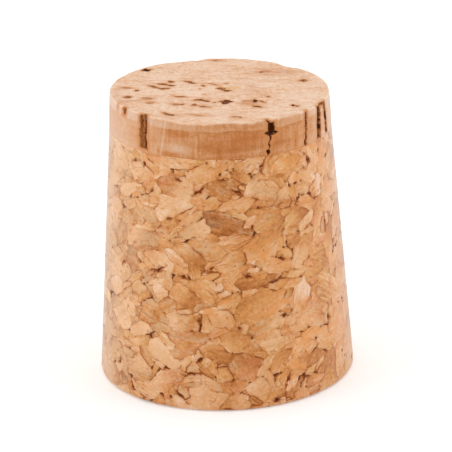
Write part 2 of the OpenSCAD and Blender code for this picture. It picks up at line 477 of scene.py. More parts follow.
def bodySurface(phi, s):
    # s runs from 0 at the base's middle to 1 at its worn edge, to 2 where the wall starts
    # and to 3 at the joint; returns the point, the outward normal and the length of one s
    edge = stopper["edgeRadius"]
    flatRadius = stopper["baseRadius"] - edge * math.tan(math.pi / 4 + taper / 2)
    turn = np.clip(s - 1, 0, 1) * (math.pi / 2 + taper)
    edgeTop = edge * (1 + math.sin(taper))
    wallLength = planeOnWall(phi, jointHeight, stopper["jointSlope"]) - edgeTop
    up = edgeTop + np.clip(s - 2, 0, 1) * wallLength
    radius = np.where(s < 1, flatRadius * s, flatRadius + edge * np.sin(turn))
    height = np.where(s < 1, 0, edge * (1 - np.cos(turn)))
    radius = np.where(s > 2, wallRadius(up), radius)
    height = np.where(s > 2, up, height)
    outward = np.where(s < 1, 0, np.sin(turn))
    upward = np.where(s < 1, -1, -np.cos(turn))
    point = np.stack([radius * np.cos(phi), radius * np.sin(phi), height], -1)
    normal = np.stack([outward * np.cos(phi), outward * np.sin(phi), upward], -1)
    step = np.where(s < 1, flatRadius, np.where(s < 2, edge * math.pi / 2, wallLength))
    return point, normal, step


def leaning(phi, normal, lean):
    # the level direction around the stopper, turned up over the surface by lean in degrees
    around = np.stack([-np.sin(phi), np.cos(phi), 0 * phi], -1)
    lean = np.radians(lean)[..., None]
    return around * np.cos(lean) + np.cross(normal, around) * np.sin(lean)


def wallFrame(angle, z, lean):
    # a point on the wall, its outward normal, and the direction that leans by so much there
    phi = math.radians(angle)
    point = np.array([wallRadius(z) * math.cos(phi), wallRadius(z) * math.sin(phi), z])
    normal = wallNormal(phi)
    return point, normal, leaning(phi, normal, lean)


def gapList():
    # every gap as (point, normal, direction along it, length, width)
    found = []
    for angle, share, length, width, turn in body["wallGaps"]:
        found.append((*wallFrame(angle, share * jointHeight, turn), length, width))
    for i in range(1, body["backGaps"] + 1):
        up = (i * 0.618) % 1
        angle = -10 + 200 * (i - 0.5) / body["backGaps"]
        place = wallFrame(angle, (0.04 + 0.9 * up) * jointHeight, i * body["golden"])
        found.append((*place, 1.2 + 1.2 * up, 0.5 + 0.3 * up))
    for i in range(1, body["baseGaps"] + 1):
        r = stopper["baseRadius"] * 0.85 * math.sqrt(i / (body["baseGaps"] + 1))
        phi = math.radians(i * body["golden"])
        point = np.array([r * math.cos(phi), r * math.sin(phi), 0])
        along = np.array([math.cos(2 * phi), math.sin(2 * phi), 0])
        found.append((point, np.array([0, 0, -1.0]), along, 2.0, 0.7))
    return found


def metricOf(normal, along, aspect):
    # rows that stretch space: by the root of a granule's aspect along it, and as much across it
    root = np.sqrt(aspect)[..., None]
    return np.stack([along / root, np.cross(normal, along) * root, normal], -2)


def aroundLeft(phi):
    # a bell over the angle from the direction of the left side
    angle, halfWidth = body["leftSide"]
    return bell(np.degrees(turnFrom(angle, phi)), 0, halfWidth)


def outlines(random, count):
    # directions square to the sides of each granule, spread round the circle and shaken
    sides = body["sides"]
    turn = (np.arange(sides) + random.uniform(-0.32, 0.32, (count, sides))) * 2 * math.pi / sides
    turn += random.uniform(0, 2 * math.pi, (count, 1))
    return np.stack([np.cos(turn), np.sin(turn)], -1)


def throwGranules(random, gaps):
    # granules are thrown on the skin from the largest down, and each keeps clear of the others;
    # returns the point, normal, direction along, half size and aspect of each
    rows = [(*wallFrame(angle, z, lean), size, aspect)
            for angle, z, size, aspect, lean, _, _ in body["known"]]
    clear, size, aspect = body["besideGaps"]
    for point, normal, along, _, width in gaps:  # a small granule on each side of every gap
        for side in (-1, 1):
            beside = point + np.cross(normal, along) * side * (width / 2 + clear)
            rows.append((beside, normal, along, size, aspect))
    placed, normals, alongs, spans, aspects = (np.array(column) for column in zip(*rows))
    shapes = metricOf(normals, alongs, aspects)
    for size, tries, shortest, longest in body["sizes"]:
        phi = random.uniform(-math.pi, math.pi, tries)
        onBase = random.random(tries) < body["onBase"]
        s = np.where(onBase, np.sqrt(random.random(tries)), 2 + random.random(tries))
        point, normal, _ = bodySurface(phi, s)
        anyLean = random.random(tries) < body["anyLean"]
        lean = np.where(anyLean, random.uniform(-90, 90, tries), random.normal(*body["lean"], tries))
        angle, halfWidth, upright = body["upright"]
        lean += upright * bell(np.degrees(phi), angle, halfWidth)
        along = leaning(phi, normal, lean)
        aspect = random.uniform(shortest, longest, tries)
        shape = metricOf(normal, along, aspect)
        for k in range(tries):
            away = placed - point[k]
            mine = np.linalg.norm(away @ shape[k].T, axis=1)
            theirs = np.linalg.norm(np.einsum("nij,nj->ni", shapes, away), axis=1)
            if np.all(mine + theirs > 2 * body["spacing"] * (size + spans)):
                sunk = point[k] - normal[k] * random.uniform(0, 0.4)
                rows.append((sunk, normal[k], along[k], size, aspect[k]))
                placed = np.vstack([placed, sunk])
                shapes = np.concatenate([shapes, shape[k][None]])
                spans = np.append(spans, size)
    return [np.array(column) for column in zip(*rows)]


def sowGranules(gaps):
    # thrown granules, each with its looks: most are a mean and a spread, and the known ones are set
    random = np.random.default_rng(body["seed"])
    centre, normal, along, size, aspect = throwGranules(random, gaps)
    known = len(body["known"])
    chosen = known + 2 * len(gaps)
    count = len(size)
    number = np.arange(count)
    size[chosen:] *= random.uniform(0.8, 1.2, count - chosen)
    # some granules belong with the largest one beside them, and share its look
    apart = np.linalg.norm(centre[:, None] - centre, axis=-1)
    beside = np.where((apart < body["joinReach"]) & (apart > 0), size, 0)
    joins = (random.random(count) < body["joined"]) & (size < body["joinSize"])
    lead = np.where(joins, np.argmax(beside, axis=1), number)
    lead[:chosen] = number[:chosen]
    lead = lead[lead]
    lead = np.where(lead < known, number, lead)  # none belongs with a known one
    tone = np.clip(random.normal(*body["tone"], count), body["leastTone"], 1)
    for share, low, high in body["oddTones"]:
        tone = np.where(random.random(count) < share, random.uniform(low, high, count), tone)
    # the granules around the left and the right have no dark ones among them, a painted light that
    # keeps the flanks pale; the right gets a hair of painted light and the left a little painted
    # shade
    direction = np.arctan2(centre[:, 1], centre[:, 0])
    left = aroundLeft(direction)
    right = bell(np.degrees(direction), *body["rightSide"])
    tone = np.where(np.maximum(left, right) > 0.2, np.maximum(tone, body["leastPaintedSideTone"]), tone)
    tone += body["rightPaintedLight"] * right + body["leftPaintedShade"] * left
    hue = random.normal(0, 0.12, count)
    tone[:known] = [row[5] for row in body["known"]]
    hue[:known] = [row[6] for row in body["known"]]
    dark = body["darkOne"]
    isDark = number == 0
    return {
        "lead": lead,
        "centre": centre,
        "metric": metricOf(normal, along, aspect),
        "axes": metricOf(normal, along, np.ones(count)),
        "size": size,
        "tone": tone,
        "slope": np.vstack([[dark["slope"]] * 2, random.normal(0, 0.055, (count - 1, 2))]),
        "hue": hue,
        "sink": random.uniform(0, 1, count),
        "offset": random.uniform(-40, 40, (count, 3)),
        "streaky": np.where(isDark, dark["streaky"], random.uniform(0, 1, count) ** 3),
        "sides": outlines(random, count),
        # the left flank is painted greyer, a painted haze
        "chroma": random.normal(0.01, 0.06, count) - body["leftPaintedHaze"] * left
                  + dark["chroma"] * isDark,
    }


def bent(points):
    # the space is bent by two soft noises, so that granules have crooked outlines
    wide = softNoise(points, 2.6, 21, 3)
    fine = softNoise(points, 0.9, 22, 3)
    return points + body["bend"] * (wide + 0.45 * fine)


def reachOf(points, seeds, pick):
    # mm outside the granule's outline, in its own stretched space: the outline is a polygon,
    # its distance the greatest over its sides, blended with the plain distance to soften corners
    away = points - seeds["centre"][pick]
    own = np.einsum("...ij,...j->...i", seeds["metric"][pick], away)
    angular = np.einsum("...kj,...j->...k", seeds["sides"][pick], own[..., :2]).max(-1)
    plain = np.hypot(own[..., 0], own[..., 1])
    flat = body["angular"] * angular + (1 - body["angular"]) * plain
    return np.hypot(flat, own[..., 2]) - seeds["size"][pick]


def nearestThree(points, seeds):
    # works through cells of space, and looks only at granules around each cell;
    # the second and the third nearest are the next ones that don't belong with those before
    cellSize = 4
    within = 10
    cell = np.floor(points / cellSize).astype(int)
    _, owner = np.unique(cell, axis=0, return_inverse=True)
    owner = owner.ravel()
    order = np.argsort(owner, kind="stable")
    cuts = np.flatnonzero(np.diff(owner[order])) + 1
    nearest = np.zeros((len(points), 3), dtype=int)
    for group in np.split(order, cuts):
        middle = (cell[group[0]] + 0.5) * cellSize
        near = np.flatnonzero(np.linalg.norm(seeds["centre"] - middle, axis=1) < within)
        reach = reachOf(points[group][:, None], seeds, near[None])
        lead = seeds["lead"][near]
        for k in range(3):
            best = np.argmin(reach, axis=1)
            nearest[group, k] = near[best]
            reach = np.where(lead[None] == lead[best][:, None], 1e9, reach)
    return nearest


def lag(points, seeds, nearest, which=1):
    # how many mm further off the second (or third) nearest granule is than the nearest
    q = bent(points)
    return reachOf(q, seeds, nearest[:, which]) - reachOf(q, seeds, nearest[:, 0])


def snapToBorders(phi, s, seeds, nearest):
    # a vertex within half a cell of a border moves onto it: one Newton step on the lag; returns
    # the new phi and s, the old radius, which vertices moved, and mm from each to its border
    stages = (body["baseRings"], body["edgeRows"], body["wallRows"])
    tiny = 0.03
    point, _, step = bodySurface(phi, s)
    radius = np.maximum(np.hypot(point[:, 0], point[:, 1]), 0.05)
    here = lag(point, seeds, nearest)
    around = bodySurface(phi + tiny / radius, s)[0]
    up = bodySurface(phi, np.minimum(s + tiny / step, 3))[0]
    slopeAround = (lag(around, seeds, nearest) - here) / tiny
    slopeUp = (lag(up, seeds, nearest) - here) / tiny
    steep = slopeAround ** 2 + slopeUp ** 2 + 1e-6
    moveAround = -here * slopeAround / steep
    moveUp = -here * slopeUp / steep
    cellAround = 2 * math.pi * radius / body["columns"]
    cellUp = np.select([s < 1, s <= 2], [1 / n for n in stages[:2]], 1 / stages[2]) * step
    onBorder = (np.abs(moveAround) < 0.5 * cellAround) & (np.abs(moveUp) < 0.5 * cellUp)
    # the rows where the skin turns stay where they are, and so does the one at the joint
    fixedRow = (s >= 3) | (np.abs(s - 1) < 1e-9) | (np.abs(s - 2) < 1e-9)
    onBorder &= ~(fixedRow & (np.abs(moveUp) > 0.12 * cellUp)) & (s > 1.5 / stages[0])
    phi = phi + np.where(onBorder, moveAround / radius, 0)
    s = s + np.where(onBorder & ~fixedRow, moveUp / step, 0)
    fromBorder = np.maximum(lag(bodySurface(phi, s)[0], seeds, nearest) / np.sqrt(steep), 0.0)
    return phi, s, radius, onBorder, np.where(onBorder, 0, fromBorder)


def borderDiagonals(mark):
    # the diagonal of each cell follows a border that crosses it, and otherwise they alternate
    a, b = mark[:-1], np.roll(mark, -1, 1)[:-1]
    d, c = mark[1:], np.roll(mark, -1, 1)[1:]
    flip = checkerboard(*mark.shape)
    flip[b & d & ~(a & c)] = True
    flip[a & c & ~(b & d)] = False
    return flip


def pressGaps(point, gaps, border):
    # how many mm inside a ragged gap each vertex lies, how near it is to one from 0 to 1, and how
    # strong a crack that runs on from a gap's ends; border takes the distance to such a crack
    ragged = softNoise(point, 0.8, 31, 3) * 0.35 + softNoise(point, 0.35, 32, 3) * 0.15
    hollow = np.full(len(point), -1.0)
    nearGap = np.zeros(len(point))
    gapCrack = np.zeros(len(point))
    for middle, out, direction, length, width in gaps:
        near = np.flatnonzero(np.linalg.norm(point - middle, axis=1) < length)
        away = point[near] + ragged[near] - middle
        along = away @ direction
        across = np.abs(away @ np.cross(out, direction))
        hollow[near] = np.maximum(hollow[near], lens(along, across, length, 0.8 * width))
        nearGap[near] = np.maximum(nearGap[near], 1 - np.linalg.norm(away, axis=1) / length)
        tail = smooth(0.95, 0.6, np.abs(along) / length) * (across < border[near])
        border[near] = np.where(tail > 0.02, across, border[near])
        gapCrack[near] = np.maximum(gapCrack[near], 0.8 * tail)
    return hollow, nearGap, gapCrack


def granuleValues(point, triangles, nearest, seeds):
    # each triangle belongs to the granule that reaches furthest over its middle: its corners take
    # that granule's numbers, a tone that drifts across it, and their place along and across it
    middle = bent(point[triangles].mean(1))
    options = nearest[triangles][:, :, :2].reshape(len(triangles), -1)
    reach = reachOf(middle[:, None], seeds, options)
    owner = seeds["lead"][options[np.arange(len(triangles)), np.argmin(reach, axis=1)]]
    away = point[triangles] - seeds["centre"][owner][:, None]
    own = np.einsum("tij,tcj->tci", seeds["axes"][owner], away)
    drift = np.einsum("tci,ti->tc", own[..., :2], seeds["slope"][owner])
    values = {name: np.repeat(seeds[name][owner][:, None], 3, 1)
              for name in ("tone", "hue", "streaky", "chroma")}
    values["tone"] += np.clip(drift, -0.13, 0.13)
    values["grain"] = own + seeds["offset"][owner][:, None]
    return values


def buildBody():
    # the grid of the body's skin is snapped to the borders of its granules, and gaps, pits, grooves
    # and unevenness are then pressed into it along its normals
    gaps = gapList()
    seeds = sowGranules(gaps)
    say("%d granules sown" % len(seeds["size"]))
    counts = (body["baseRings"], body["edgeRows"], body["wallRows"])
    stages = np.concatenate([i + np.arange(1, n + 1) / n for i, n in enumerate(counts)])
    rows, columns = len(stages), body["columns"]
    phi, s = skinGrid(stages, columns)
    nearest = nearestThree(bent(bodySurface(phi, s)[0]), seeds)
    phi, s, radius, onBorder, border = snapToBorders(phi, s, seeds, nearest)
    point, normal, step = bodySurface(phi, s)
    say("vertices set on granule borders: %d" % onBorder.sum())
    triangles = closedGrid(rows, columns, borderDiagonals(onBorder.reshape(rows, columns)))
    hollow, nearGap, gapCrack = pressGaps(point, gaps, border)

    # small pits where three granules meet
    luck = softNoise(point, 1.9, 33)[:, 0]
    pit = 0.26 - lag(point, seeds, nearest, 2) + 0.35 * (luck - 0.45)
    hollow = np.maximum(hollow, np.clip(pit, -1, 0.22))

    # cracks: some pairs of granules part, by a number that mixes up the pair's own two numbers,
    # and noise breaks the line up
    first, second = seeds["lead"][nearest[:, 0]], seeds["lead"][nearest[:, 1]]
    pair = ((first + second) * 0.754877 + first * second * 0.569840) % 1
    broken = 0.7 * softNoise(point, 1.5, 34)[:, 0] + 0.5 * softNoise(point, 0.6, 37)[:, 0]
    crack = smooth(0.62, 1.20, 0.45 * nearGap + 0.40 * pair + 0.55 * (broken + 0.75))
    crack *= 1 - 0.3 * aroundLeft(phi)
    crack = np.maximum(crack, gapCrack)

    # the glued joint is a border too, dark along some of its length
    fromJoint = np.where(s > 2, (3 - s) * step, 9)
    glue = 0.7 * smooth(0.0, 0.8, softNoise(point, 2.2, 36)[:, 0])
    glue += 0.6 * bell(np.degrees(phi), -85, 8)
    crack = np.where(fromJoint < border, np.minimum(glue, 1), crack)
    border = np.minimum(border, fromJoint)

    depth = body["unevenness"] * seeds["sink"][first] * smooth(0.0, 0.5, border)
    depth += body["grooveDepth"] * crack * bell(border, 0, 0.15)
    depth += body["gapDepth"] * smooth(-0.02, 0.34, hollow)
    depth += body["roughness"] * (1 + softNoise(point, 0.8, 35)[:, 0])
    depth[s >= 3] = 0
    depth *= np.where(s < 1.2, np.minimum(radius / 1.5, 1), 1)  # less around the base's middle
    point = point - normal * depth[:, None]
    point[:, 2] = np.maximum(point[:, 2], 0)

    # two more points close the grid at the base's middle and across the joint
    point = np.vstack([point, [[0, 0, 0], [0, 0, jointHeight]]])
    nearest = np.vstack([nearest, nearest[:1], nearest[-1:]])
    makePiece("pressedBody", point, triangles, [len(triangles) - columns], {
        **granuleValues(point, triangles, nearest, seeds),
        "border": np.append(border, [0.5, 0.5]),
        "crack": np.append(crack, [0, 0]),
        "hollow": np.append(hollow, [-1, -1]),
    }, "agglomerated_body", pressedCork())


naturalLook = {
    "attributes": ("below", "tone", "hollow", "dark", "red", "lined"),
    "noises": {  # on Object coordinates, in metres
        "mottle": ((1500, 1500, 1500), 4.0, 0.6, 0.0),
        "cells": ((4200, 4200, 4200), 2.0, 0.6, 0.0),
        "upright": ((2200, 2200, 260), 3.0, 0.6, 0.3),
        "level": ((90, 90, 640), 3.0, 0.6, 0.4),
        "wobble": ((300, 300, 500), 2.0, 0.5, 0.0),
        "streak": ((230, 640, 300), 4.0, 0.65, 0.8),
        "flecks": ((600, 1900, 600), 2.0, 0.5, 0.5),
    },
    "upright": (0.8, 0.5, 0.15, 0.5),  # the upright grain sways a pale tone less than a dark one
    "wallSways": [("level", 0.55), ("cells", 0.35), ("mottle", 0.35)],
    "wall": [
        (0.00, 146, 80, 34), (0.25, 180, 110, 58), (0.45, 196, 128, 76),
        (0.60, 208, 151, 106), (0.80, 214, 168, 134), (1.00, 221, 187, 163),
    ],
    "wallLayers": [  # red patches and the growth line
        ("MIX", (190, 106, 54), ("redder",)),
        ("MIX", (150, 86, 40), ("line", 0.1, 0.02), ("wobble", 0.42, 0.54), ("lined",)),
    ],
    "faceSways": [("streak", 1.1), ("mottle", 1.4), ("cells", 0.9)],
    "face": [
        (0.00, 196, 128, 72), (0.25, 218, 156, 102), (0.45, 230, 178, 137),
        (0.65, 237, 195, 161), (1.00, 244, 214, 190),
    ],
    "faceLayers": [  # flecks, tan patches and a golden one
        ("MIX", (212, 154, 104), ("flecks", 0.62, 0.72, 0.0, 0.6)),
        ("MIX", (206, 134, 76), ("red",), ("streak", 0.66, 0.38, 0.4, 1.3)),
        ("MIX", (226, 172, 108), ("red", -0.05, -0.7, 0.0, 0.9)),
    ],
    "layers": [
        # the pale rim: worn cork, and a painted highlight along the edge
        ("MIX", (242, 208, 180), ("fromRim", 0.45, 0.05), ("tone", 0.85, 0.6, 0.1, 0.6)),
        # hollows: an orange halo, a brown edge that is flecked where it is shallow, dark depths
        ("MIX", ((218, 150, 88), (204, 134, 78), "below", -0.1, 0.3), ("rough", -0.75, 0.05),
         ("dark", 0.0, 0.5, 0.7, 1.0)),
        ("MIX", ((168, 102, 52), (120, 58, 16), "dark", 0.4, 0.95), ("rough", -0.07, 0.08),
         ("dark", 0.05, 0.5, 0.3, 1.0)),
        ("MIX", (212, 154, 104), ("shallow",), ("cells", 0.56, 0.66)),
        ("MIX", (120, 58, 16), ("shallow",), ("mottle", 0.5, 0.4)),
        ("MIX", (92, 42, 12), ("rough", 0.0, 0.13), ("dark", 0.6, 1.0)),
    ],
    "roughness": (0.3, 0.7, 0.5, 0.7),
    "bump": {"Strength": 0.4, "Distance": 0.0001},
    "surface": {
        "IOR": 1.45, "Specular IOR Level": 0.12, "Sheen Weight": 0.45, "Sheen Roughness": 0.35,
        "Sheen Tint": (1.0, 0.94, 0.88, 1.0),
    },
}


def naturalCork():
    # the wall and the face each have a tone that noises sway, looked up in tones of their own; the
    # face's colour runs a little way over the rim, and layers go over both
    look = naturalLook
    shader = Shader(bpy.data.materials.new("naturalCork"))
    field = shader.fields(look)
    tone, dark = field["tone"], field["dark"]
    edge = shader.sway(field["below"], [("wobble", 0.5)], field)
    over = shader.sway(field["below"], [("wobble", 1.2)], field)
    rough = shader.sway(field["hollow"], [("mottle", 0.9)], field)
    inside = shader.times(shader.fit(rough, -0.07, 0.08), shader.fit(dark, 0.05, 0.5, 0.3, 1.0))
    field.update({
        "rough": rough,
        "shallow": shader.times(inside, shader.fit(dark, 0.85, 0.55)),
        "redder": shader.times(field["red"], 0.45),
        "line": shader.apart(edge, disc["line"]),
        "fromRim": shader.apart(over, 0.0),
    })
    grain = shader.fit(tone, *look["upright"])
    value = shader.sway(tone, [("upright", grain), *look["wallSways"]], field)
    # paler cork above the growth line
    above = shader.fit(edge, disc["line"] + 0.10, disc["line"] - 0.10)
    value = shader.math("MULTIPLY_ADD", above, 0.17, value)
    wall = shader.lay(shader.ramp(value, look["wall"]), look["wallLayers"], field)
    value = shader.sway(tone, look["faceSways"], field)
    face = shader.lay(shader.ramp(value, look["face"]), look["faceLayers"], field)
    base = shader.mix(shader.fit(over, 0.28, 0.06), wall, face)
    base = shader.lay(base, look["layers"], field)
    height = shader.math("MULTIPLY_ADD", field["upright"], 0.6, field["mottle"])
    return shader.cork(base, height, field, look)


# the disc of natural cork: how its surface is made, and where its lenticels, pores and patches
# lie, in mm and degrees
disc = {
    "columns": 700,
    "wallRows": 40,
    "faceRings": 84,
    "slotDepth": 1.5,
    "poreDepth": 0.36,
    "raggedPores": 1.7,
    "bow": 0.5,
    "swelling": 0.12,  # the disc's wall stands a little proud of the body's line at the rim
    "rimWear": 0.03,
    "roughness": 0.012,
    "line": 1.38,  # a growth line this far below the rim, with paler cork above it
    "strokes": [(-88, 6, 0.85), (-74, 7, 0.50), (-54, 4, 0.35)],  # where it shows dark, and how
    "frontLenticel": -63.5,  # the direction of the one with a wide mouth
    "brokenCorner": -24.6,  # and of a break that joins two others at the rim
    # lenticels that open at the wall: direction, width, where each starts and ends below the rim,
    # lean, notch in the face, darkness
    "lenticels": [
        (-133.8, 0.8, -0.1, 5.2, 0, 0.3, 0.46), (-131.8, 0.85, -0.1, 5.2, 0, 0.4, 0.66),
        (-40, 0.42, 0.1, 5.3, 0.12, 0.2, 0.68), (-28, 1.05, 0.3, 5.1, 0.11, 0, 1),
        (-20.9, 0.8, 0.2, 5, -0.06, 0, 0.92), (-48.6, 0.14, 2.8, 5.2, 0.02, 0, 0.45),
        (-148.3, 0.95, -0.2, 1.1, 0.15, 0.3, 0.34), (-156, 0.16, 0, 0.9, 0.1, 0.1, 0.22),
        (28, 0.4, 0.3, 5.4, 0, 0, 0.9), (74, 0.8, 0.3, 5.4, 0, 0, 0.5),
        (118, 0.36, 0.3, 5.4, 0, 0, 0.9), (161, 0.6, 0.3, 5.4, 0, 0, 0.8),
    ],
    # places where the rim is broken or pressed down: direction, half width, depth
    "rimDips": [
        (101.5, 0.6, 0.32), (110, 2.2, 0.14), (49, 1.6, 0.28), (-148.5, 0.4, 0.22),
        (-64.6, 0.3, 0.15), (-24.6, 0.7, 0.22), (-40.4, 0.2, 0.12), (-133, 0.6, 0.1),
    ],
    # pores in the face: place to the right and back from the middle, length, width, turn, darkness
    "pores": [
        (-11.3, 10.6, 2, 1.4, 30, 0.9), (-4.6, 4, 2.4, 0.9, -42, 0.55),
        (-4.1, 3.5, 1.2, 0.75, -40, 0.8), (-7.4, 4.3, 1.3, 1.1, 20, 0.55),
        (-8.6, 3, 2.8, 0.7, -22, 0.52), (-7.4, 2.3, 1.1, 0.8, -50, 0.7),
        (-9.9, 1.6, 3.2, 0.75, -46, 0.5), (-8.6, 0.7, 2.2, 0.8, -5, 0.48),
        (-0.9, 2.8, 3, 0.5, -32, 0.4), (-2.4, 2.1, 0.9, 0.9, 0, 0.45),
        (-3.1, 0.3, 0.5, 0.6, 0, 0.4), (-2.3, -2.5, 0.5, 0.55, 0, 0.3),
        (-0.7, -6.4, 0.6, 0.55, 0, 0.4), (1.1, 3.1, 0.7, 0.7, 0, 0.5),
        (7.4, -3.9, 0.6, 0.6, 0, 0.35), (-14.2, 1.2, 2.6, 0.75, -20, 0.28),
        (-12.6, -0.1, 0.9, 1, -30, 0.42), (-13.9, -3.4, 1.6, 1.25, 0, 0.5),
        (-10.9, -4.3, 2, 1.1, -10, 0.24), (-10.5, -6.5, 1.3, 1.1, 20, 0.24),
        (-6, -3.5, 2.9, 0.6, -22, 0.48), (-2.7, -5.3, 2.8, 1.05, -22, 0.48),
        (-1.9, -5.8, 1, 0.7, -20, 0.7), (-6.4, -7.4, 2.6, 0.85, -5, 0.28),
        (-3.8, -7.8, 1.3, 1.1, 0, 0.36), (-2.5, -8.5, 2.4, 0.8, -22, 0.42),
        (-7.8, -12.1, 2.8, 0.75, -38, 0.5), (-7.2, -12.5, 1.4, 0.8, -42, 0.8),
        (-3.5, -12.8, 2.9, 0.5, -18, 0.22), (0.3, 0.5, 1.7, 1.3, -75, 0.52),
        (1.1, -0.5, 2, 0.95, -20, 0.58), (0.85, -5.9, 2.6, 1.3, 0, 0.74),
        (0.8, -6.4, 2.2, 1.5, -85, 0.82), (3.8, -6, 0.9, 0.95, 0, 0.32),
        (4.8, -6.1, 2.9, 1.5, -10, 0.16), (5.3, -6, 1.8, 0.85, 80, 0.82),
        (6.4, -6.3, 1.7, 0.6, -45, 0.42), (5.6, -8.8, 2.2, 0.8, -40, 0.66),
        (11.1, -8.3, 1.1, 0.85, 90, 0.9), (11.7, -8.7, 0.8, 0.85, -30, 0.7),
        (6.7, 9, 1, 0.8, 0, 0.55), (7.5, 9.2, 2, 1.2, 0, 0.12), (13, 4.3, 1.6, 1.25, 15, 0.55),
        (2.3, -13.7, 1.4, 0.7, 0, 0.28), (3, -14, 0.6, 0.6, 0, 0.5), (-3.5, 15.7, 1.1, 0.7, 0, 0.9),
        (-0.4, 15.6, 1.8, 0.6, 0, 0.25),
    ],
    # tan patches of the face: place to the right and back, half width, half depth, strength
    "facePatches": [
        (7.4, 9.2, 2.8, 1.8, 0.7), (10.4, 8.8, 2.2, 1.5, 0.6), (5, 0, 2, 2.6, 0.4),
        (13.5, 5, 1.5, 1.3, 0.4), (-15.2, 0.6, 1.2, 1.6, 0.5), (-15.6, -3, 1, 2.2, 0.5),
        (-14.3, -5.8, 1.7, 1.3, 0.5), (-11, -4.2, 1.1, 1, 0.7), (-10.6, -6.4, 1, 1, 0.7),
        (-0.3, 15.5, 1.6, 1, 0.6), (-6, -12.7, 3, 1.1, 0.25), (-0.8, -12.9, 3, 1, 0.3),
        (4.2, -6.7, 1.5, 1, 1), (4.9, -6.9, 1.1, 0.9, 1.4), (-7.4, 3.2, 1.8, 1.6, 0.3),
        (2.2, 0.9, 1.3, 0.9, -1.1), (-3, -8, 2.5, 1.4, 0.35), (-2.6, -5.2, 1.8, 0.9, 0.4),
        (2.4, -13.8, 1.3, 0.8, 0.5), (7.6, 5.5, 1.8, 2.5, 0.3), (11.3, -8.4, 1.1, 1, 0.35),
    ],
    # how pale the wall is, by direction from the back round the left, front and right: partly the
    # cork's own tone, and partly painted light, paler on the flanks and darker at the front where
    # less light falls
    "wallTonesWithPaintedLight": [
        (-180, 0.78), (-150, 0.83), (-136, 0.69), (-123, 0.61), (-120.5, 0.50), (-105, 0.50),
        (-95, 0.41), (-75, 0.39), (-62, 0.42), (-48, 0.52), (-40, 0.63), (-30, 0.78),
        (-15, 1.00), (0, 0.92), (60, 0.50), (120, 0.50), (180, 0.72),
    ],
    # broad patches of the wall: direction, distance below the rim, half width, half height,
    # how much paler (or darker, below zero) and how much redder
    "wallPatches": [
        (-80, 2.5, 3.2, 0.9, -0.07, 0.9), (-111, 2.1, 2.4, 0.7, -0.1, 0.5),
        (-113, 4.3, 2.3, 0.8, 0.42, -0.3), (-115, 5.2, 1.4, 0.3, -0.12, 0.3),
        (-97, 4.8, 1.6, 0.6, 0.1, -0.4), (-102.6, 3.4, 0.16, 2, 0.14, 0),
        (-85.6, 3, 0.14, 1.6, 0.12, 0), (-59, 3.6, 1.3, 0.9, -0.12, 0.3),
        (-48, 0.8, 2.6, 0.6, -0.03, 0), (-72, 4.6, 1.6, 0.7, 0.08, -0.2),
        (-37, 3, 0.5, 1.6, -0.08, 0.2),
    ],
}


def discSurface(phi, s):
    # s runs from 0 at the joint to 1 at the rim, up the wall, and to 2 in the face's middle;
    # returns the point, its normal, those of the wall and the face, and the rim's height
    low = planeOnWall(phi, jointHeight, stopper["jointSlope"])
    high = planeOnWall(phi, stopper["height"], stopper["topSlope"])
    t = np.clip(s, 0, 1)
    up = low + t * (high - low)
    onWall = wallRadius(up) + disc["swelling"] * (1 - (1 - t) ** 2)
    onFace = (wallRadius(high) + disc["swelling"]) * (2 - s)
    radius = np.where(s <= 1, onWall, onFace)
    slope = math.radians(stopper["topSlope"])
    x, y = radius * np.cos(phi), radius * np.sin(phi)
    z = np.where(s <= 1, up, stopper["height"] - x * math.tan(slope))
    wall = wallNormal(phi)
    face = np.array([math.sin(slope), 0, math.cos(slope)])
    normal = np.where((s <= 1)[:, None], wall, face)
    return np.stack([x, y, z], -1), normal, wall, face, high


def frontPocket(around, below):
    # mm inside the front lenticel, from mm around the wall and below the rim: a mouth, a point to
    # each side of it, a crack with a blob down to the joint, and a nick at the rim
    mouth = 0.55 - np.abs(around - 0.08 + 0.07 * below)
    mouth = np.minimum(mouth, np.minimum(below - 0.50, 2.3 - below))
    spikes = lens(around, below - 2.08, 2.6, 0.75)
    wander = 0.22 + 0.16 * (below - 2.4) + 0.03 * np.sin(below * 4)
    crack = np.where(below > 2.0, 0.13 - np.abs(around + wander), -1)
    blob = 0.30 - np.hypot(around + 0.66, 0.8 * (below - 4.9))
    nick = np.where(below < 0.9, 0.22 - np.abs(around + 0.62 - 0.75 * below), -1)
    return np.max([mouth, spikes, crack, blob, nick], axis=0)


def wallTone(phi, below):
    # how pale the wall is by direction, which is partly painted light on the flanks, with one pale
    # upright streak, a painted highlight, and its patches; then how red it is, and how dark its
    # growth line shows
    direction = np.degrees(phi)
    tone = np.interp(direction + 0.6 * (below - 2.5), *zip(*disc["wallTonesWithPaintedLight"]))
    # a painted highlight: a pale upright streak where the edge of a sanded facet catches the light
    tone += 0.25 * bell(direction + 0.60 * below, -118.6, 0.7)
    red = np.zeros(len(phi))
    for angle, down, halfWidth, halfHeight, paler, redder in disc["wallPatches"]:
        around = (direction - angle) * math.pi / 180 * stopper["topRadius"]
        near = bell(around, 0, halfWidth) * bell(below, down, halfHeight)
        tone += paler * near
        red += np.where(below > 0, redder * near, 0)
    lined = sum(strength * bell(direction, *place) for *place, strength in disc["strokes"])
    return tone, red, lined


